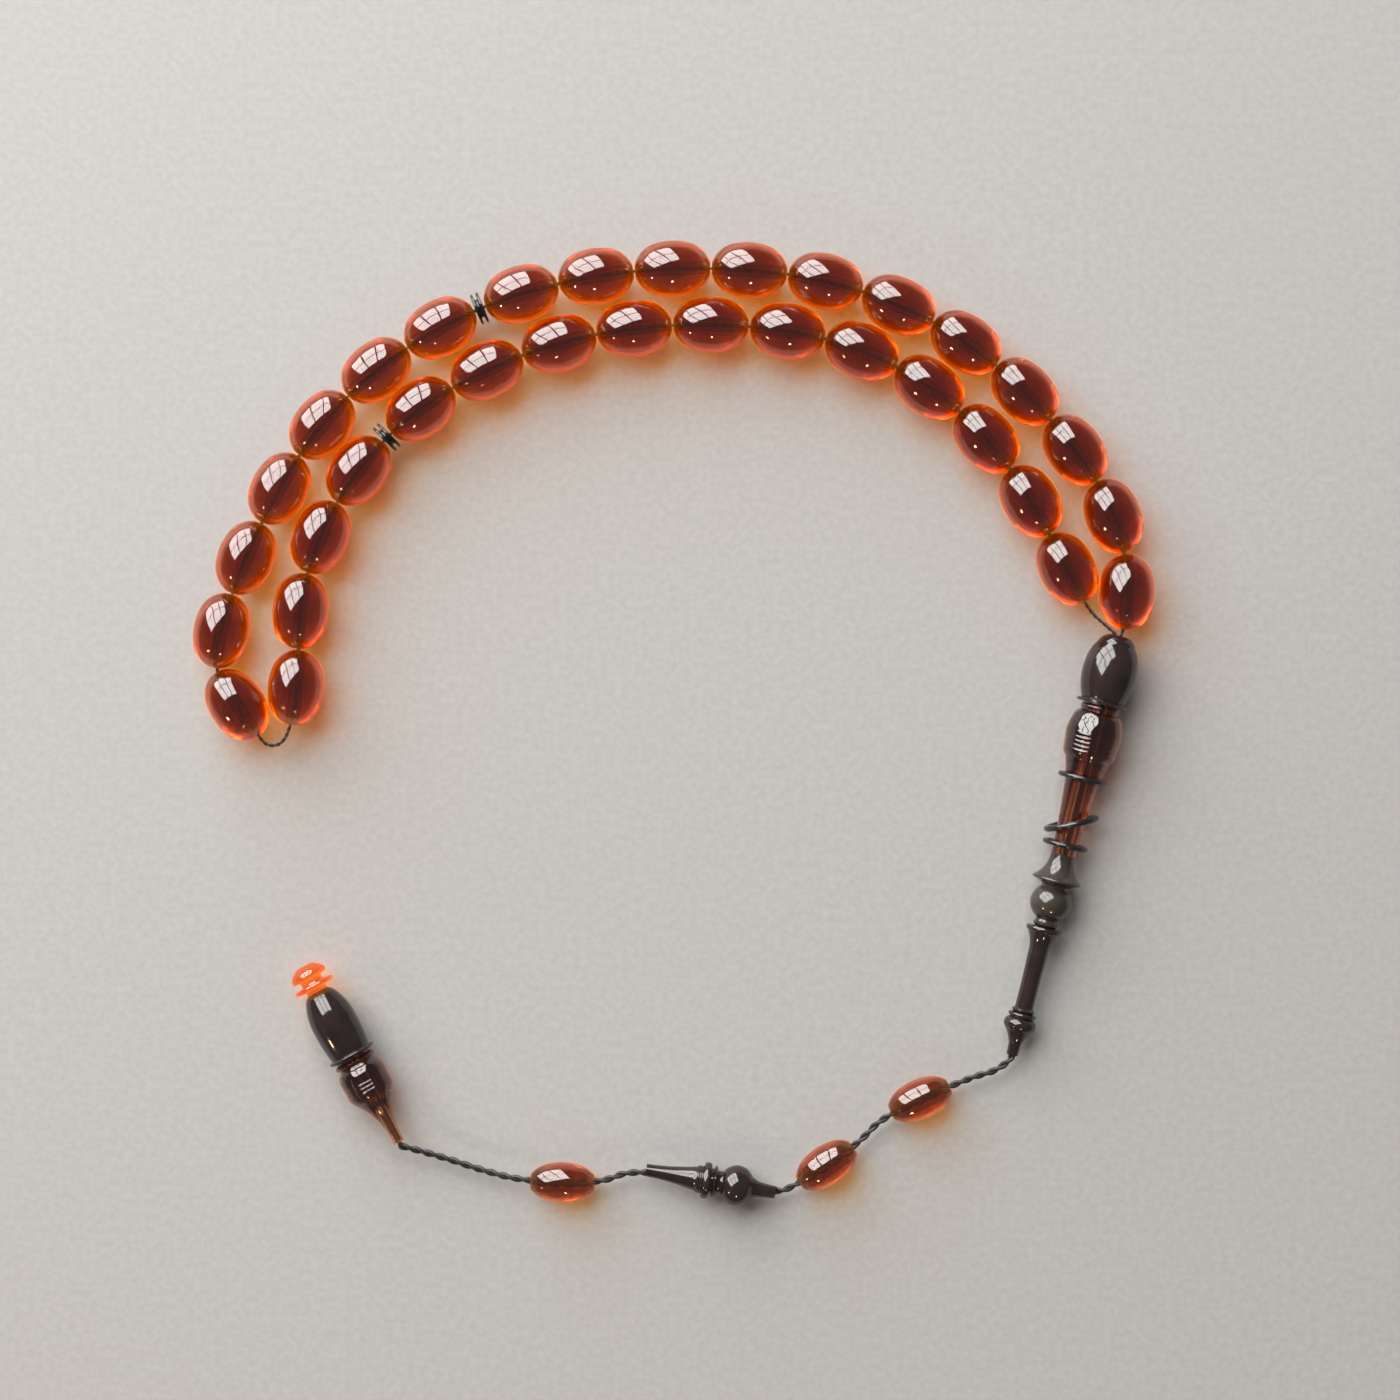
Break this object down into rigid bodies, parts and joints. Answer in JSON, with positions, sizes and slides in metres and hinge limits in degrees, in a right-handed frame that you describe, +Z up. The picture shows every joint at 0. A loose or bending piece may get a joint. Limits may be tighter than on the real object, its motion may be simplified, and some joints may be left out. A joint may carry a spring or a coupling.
{
  "type": "misbaha prayer beads",
  "caption": "Loop of barrel-shaped amber prayer beads with disc separators, a long turned imame with loose rings, and a twisted tail cord with small beads, a finial and an end piece.",
  "frame": {"origin": "middle of the layout's footprint, on the surface that the beads lie on", "axes": "+Z up from that surface; +X to the right and +Y away from a person who reads the loop as an arch, with the tail nearest to them"},
  "size_m": [0.1533, 0.1541, 0.0092],
  "materials": {
    "amber_resin": "polished, transparent dark amber",
    "brown_resin": "polished, smoky brown with an amber glow",
    "dark_resin": "polished, near-black brown",
    "black_resin": "polished black",
    "orange_resin": "polished bright orange",
    "cord": "dark twisted thread, matt"
  },
  "bodies": {
    "imame": {"imame_head": "dark_resin", "imame_vase": "brown_resin", "imame_bell": "dark_resin", "imame_finial": "dark_resin", "core_cord": "cord"},
    "loop": {"loop_cord": "cord"},
    "tail": {"tail_cord": "cord"},
    "end_piece": {"end_vase": "brown_resin", "end_barrel": "dark_resin", "end_button": "orange_resin", "end_knot": "cord", "end_cord": "cord"},
    "ring_upper": {"ring_upper": "black_resin"},
    "ring_middle": {"ring_middle": "black_resin"},
    "ring_lower": {"ring_lower": "black_resin"},
    "tail_bead_1": {"tail_bead_1": "amber_resin"},
    "tail_bead_2": {"tail_bead_2": "amber_resin"},
    "tail_bead_3": {"tail_bead_3": "amber_resin"},
    "tail_finial": {"tail_finial": "dark_resin"},
    "separator_1": {"separator_1": "black_resin"},
    "separator_2": {"separator_2": "black_resin"},
    "bead_01": {"bead_01": "amber_resin"},
    "bead_02": {"bead_02": "amber_resin"},
    "bead_03": {"bead_03": "amber_resin"},
    "bead_04": {"bead_04": "amber_resin"},
    "bead_05": {"bead_05": "amber_resin"},
    "bead_06": {"bead_06": "amber_resin"},
    "bead_07": {"bead_07": "amber_resin"},
    "bead_08": {"bead_08": "amber_resin"},
    "bead_09": {"bead_09": "amber_resin"},
    "bead_10": {"bead_10": "amber_resin"},
    "bead_11": {"bead_11": "amber_resin"},
    "bead_12": {"bead_12": "amber_resin"},
    "bead_13": {"bead_13": "amber_resin"},
    "bead_14": {"bead_14": "amber_resin"},
    "bead_15": {"bead_15": "amber_resin"},
    "bead_16": {"bead_16": "amber_resin"},
    "bead_17": {"bead_17": "amber_resin"},
    "bead_18": {"bead_18": "amber_resin"},
    "bead_19": {"bead_19": "amber_resin"},
    "bead_20": {"bead_20": "amber_resin"},
    "bead_21": {"bead_21": "amber_resin"},
    "bead_22": {"bead_22": "amber_resin"},
    "bead_23": {"bead_23": "amber_resin"},
    "bead_24": {"bead_24": "amber_resin"},
    "bead_25": {"bead_25": "amber_resin"},
    "bead_26": {"bead_26": "amber_resin"},
    "bead_27": {"bead_27": "amber_resin"},
    "bead_28": {"bead_28": "amber_resin"},
    "bead_29": {"bead_29": "amber_resin"},
    "bead_30": {"bead_30": "amber_resin"},
    "bead_31": {"bead_31": "amber_resin"},
    "bead_32": {"bead_32": "amber_resin"},
    "bead_33": {"bead_33": "amber_resin"}
  },
  "joints": [
    {"name": "loop_swing", "type": "hinge", "parent": "imame", "child": "loop", "pos_m": [0.0705, 0.014, 0.005], "axis": [0, 0, 1], "range_deg": [-12, 12]},
    {"name": "tail_swing", "type": "hinge", "parent": "imame", "child": "tail", "pos_m": [0.0535, -0.0536, 0.0032], "axis": [0, 0, 1], "range_deg": [-40, 40]},
    {"name": "end_swing", "type": "hinge", "parent": "tail", "child": "end_piece", "pos_m": [-0.0439, -0.0674, 0.004], "axis": [0, 0, 1], "range_deg": [-45, 45]},
    {"name": "ring_upper_slide", "type": "slide", "parent": "imame", "child": "ring_upper", "axis": [-0.2435, -0.9695, -0.0262], "range_m": [0, 0.004]},
    {"name": "ring_middle_lean", "type": "hinge", "parent": "imame", "child": "ring_middle", "pos_m": [0.063, -0.01586, 0.0045], "axis": [0, 0, 1], "range_deg": [-52, 3]},
    {"name": "tail_bead_1_slide", "type": "slide", "parent": "tail", "child": "tail_bead_1", "axis": [-0.9125, -0.409, 0], "range_m": [-0.0015, 0.0015]},
    {"name": "tail_bead_2_slide", "type": "slide", "parent": "tail", "child": "tail_bead_2", "axis": [-0.8316, -0.5553, 0], "range_m": [-0.001, 0.0015]},
    {"name": "tail_bead_3_slide", "type": "slide", "parent": "tail", "child": "tail_bead_3", "axis": [-0.9995, 0.031, -0.003], "range_m": [-0.0015, 0.0015]},
    {"name": "ring_lower_spin", "type": "hinge", "parent": "imame", "child": "ring_lower", "pos_m": [0.06212, -0.01935, 0.00372], "axis": [-0.2435, -0.9695, -0.0262], "continuous": true},
    {"name": "tail_finial_spin", "type": "hinge", "parent": "tail", "child": "tail_finial", "pos_m": [0.00551, -0.07312, 0.0033], "axis": [-0.9852, 0.1713, 0.0007], "continuous": true},
    {"name": "separator_1_spin", "type": "hinge", "parent": "loop", "child": "separator_1", "pos_m": [-0.03132, 0.06621, 0.0045], "axis": [-0.9214, -0.3885, 0], "continuous": true},
    {"name": "separator_2_spin", "type": "hinge", "parent": "loop", "child": "separator_2", "pos_m": [-0.04612, 0.04571, 0.0045], "axis": [0.6991, 0.715, 0], "continuous": true},
    {"name": "bead_01_spin", "type": "hinge", "parent": "loop", "child": "bead_01", "pos_m": [0.07183, 0.02102, 0.00456], "axis": [0.0199, 0.9994, -0.0288], "continuous": true},
    {"name": "bead_02_spin", "type": "hinge", "parent": "loop", "child": "bead_02", "pos_m": [0.06967, 0.03315, 0.0045], "axis": [-0.3629, 0.9318, 0], "continuous": true},
    {"name": "bead_03_spin", "type": "hinge", "parent": "loop", "child": "bead_03", "pos_m": [0.06353, 0.04368, 0.0045], "axis": [-0.5964, 0.8027, 0], "continuous": true},
    {"name": "bead_04_spin", "type": "hinge", "parent": "loop", "child": "bead_04", "pos_m": [0.05554, 0.05297, 0.0045], "axis": [-0.7047, 0.7095, 0], "continuous": true},
    {"name": "bead_05_spin", "type": "hinge", "parent": "loop", "child": "bead_05", "pos_m": [0.04612, 0.06077, 0.0045], "axis": [-0.8258, 0.5639, 0], "continuous": true},
    {"name": "bead_06_spin", "type": "hinge", "parent": "loop", "child": "bead_06", "pos_m": [0.03544, 0.06674, 0.0045], "axis": [-0.9191, 0.3941, 0], "continuous": true},
    {"name": "bead_07_spin", "type": "hinge", "parent": "loop", "child": "bead_07", "pos_m": [0.0238, 0.0705, 0.0045], "axis": [-0.974, 0.2265, 0], "continuous": true},
    {"name": "bead_08_spin", "type": "hinge", "parent": "loop", "child": "bead_08", "pos_m": [0.01168, 0.07228, 0.0045], "axis": [-0.9971, 0.0763, 0], "continuous": true},
    {"name": "bead_09_spin", "type": "hinge", "parent": "loop", "child": "bead_09", "pos_m": [-0.00058, 0.07252, 0.0045], "axis": [-0.9992, -0.0404, 0], "continuous": true},
    {"name": "bead_10_spin", "type": "hinge", "parent": "loop", "child": "bead_10", "pos_m": [-0.01277, 0.07133, 0.0045], "axis": [-0.9871, -0.1599, 0], "continuous": true},
    {"name": "bead_11_spin", "type": "hinge", "parent": "loop", "child": "bead_11", "pos_m": [-0.0247, 0.06852, 0.0045], "axis": [-0.9551, -0.2962, 0], "continuous": true},
    {"name": "bead_12_spin", "type": "hinge", "parent": "loop", "child": "bead_12", "pos_m": [-0.0376, 0.06307, 0.0045], "axis": [-0.8777, -0.4792, 0], "continuous": true},
    {"name": "bead_13_spin", "type": "hinge", "parent": "loop", "child": "bead_13", "pos_m": [-0.04779, 0.05631, 0.0045], "axis": [-0.7733, -0.634, 0], "continuous": true},
    {"name": "bead_14_spin", "type": "hinge", "parent": "loop", "child": "bead_14", "pos_m": [-0.05641, 0.04763, 0.0045], "axis": [-0.6353, -0.7723, 0], "continuous": true},
    {"name": "bead_15_spin", "type": "hinge", "parent": "loop", "child": "bead_15", "pos_m": [-0.06322, 0.03746, 0.0045], "axis": [-0.4853, -0.8744, 0], "continuous": true},
    {"name": "bead_16_spin", "type": "hinge", "parent": "loop", "child": "bead_16", "pos_m": [-0.06857, 0.02644, 0.0045], "axis": [-0.3847, -0.923, 0], "continuous": true},
    {"name": "bead_17_spin", "type": "hinge", "parent": "loop", "child": "bead_17", "pos_m": [-0.07243, 0.01483, 0.0045], "axis": [-0.2091, -0.9779, 0], "continuous": true},
    {"name": "bead_18_spin", "type": "hinge", "parent": "loop", "child": "bead_18", "pos_m": [-0.07001, 0.0031, 0.0045], "axis": [0.5413, -0.8409, 0], "continuous": true},
    {"name": "bead_19_spin", "type": "hinge", "parent": "loop", "child": "bead_19", "pos_m": [-0.06062, 0.00577, 0.0045], "axis": [0.1072, 0.9942, 0], "continuous": true},
    {"name": "bead_20_spin", "type": "hinge", "parent": "loop", "child": "bead_20", "pos_m": [-0.05986, 0.01799, 0.0045], "axis": [0.1061, 0.9944, 0], "continuous": true},
    {"name": "bead_21_spin", "type": "hinge", "parent": "loop", "child": "bead_21", "pos_m": [-0.0567, 0.02976, 0.0045], "axis": [0.3829, 0.9238, 0], "continuous": true},
    {"name": "bead_22_spin", "type": "hinge", "parent": "loop", "child": "bead_22", "pos_m": [-0.05064, 0.04035, 0.0045], "axis": [0.6065, 0.7951, 0], "continuous": true},
    {"name": "bead_23_spin", "type": "hinge", "parent": "loop", "child": "bead_23", "pos_m": [-0.04075, 0.05021, 0.0045], "axis": [0.8061, 0.5918, 0], "continuous": true},
    {"name": "bead_24_spin", "type": "hinge", "parent": "loop", "child": "bead_24", "pos_m": [-0.03018, 0.05635, 0.0045], "axis": [0.9049, 0.4256, 0], "continuous": true},
    {"name": "bead_25_spin", "type": "hinge", "parent": "loop", "child": "bead_25", "pos_m": [-0.01869, 0.0606, 0.0045], "axis": [0.9621, 0.2726, 0], "continuous": true},
    {"name": "bead_26_spin", "type": "hinge", "parent": "loop", "child": "bead_26", "pos_m": [-0.00669, 0.06302, 0.0045], "axis": [0.9934, 0.1149, 0], "continuous": true},
    {"name": "bead_27_spin", "type": "hinge", "parent": "loop", "child": "bead_27", "pos_m": [0.00555, 0.06363, 0.0045], "axis": [0.9999, -0.0134, 0], "continuous": true},
    {"name": "bead_28_spin", "type": "hinge", "parent": "loop", "child": "bead_28", "pos_m": [0.01776, 0.0626, 0.0045], "axis": [0.9877, -0.1566, 0], "continuous": true},
    {"name": "bead_29_spin", "type": "hinge", "parent": "loop", "child": "bead_29", "pos_m": [0.02956, 0.05943, 0.0045], "axis": [0.9306, -0.3661, 0], "continuous": true},
    {"name": "bead_30_spin", "type": "hinge", "parent": "loop", "child": "bead_30", "pos_m": [0.04033, 0.05366, 0.0045], "axis": [0.8134, -0.5817, 0], "continuous": true},
    {"name": "bead_31_spin", "type": "hinge", "parent": "loop", "child": "bead_31", "pos_m": [0.04941, 0.04548, 0.0045], "axis": [0.6669, -0.7451, 0], "continuous": true},
    {"name": "bead_32_spin", "type": "hinge", "parent": "loop", "child": "bead_32", "pos_m": [0.05651, 0.03552, 0.0045], "axis": [0.5126, -0.8586, 0], "continuous": true},
    {"name": "bead_33_spin", "type": "hinge", "parent": "loop", "child": "bead_33", "pos_m": [0.06233, 0.02473, 0.00451], "axis": [0.4552, -0.8904, 0.0053], "continuous": true}
  ]
}
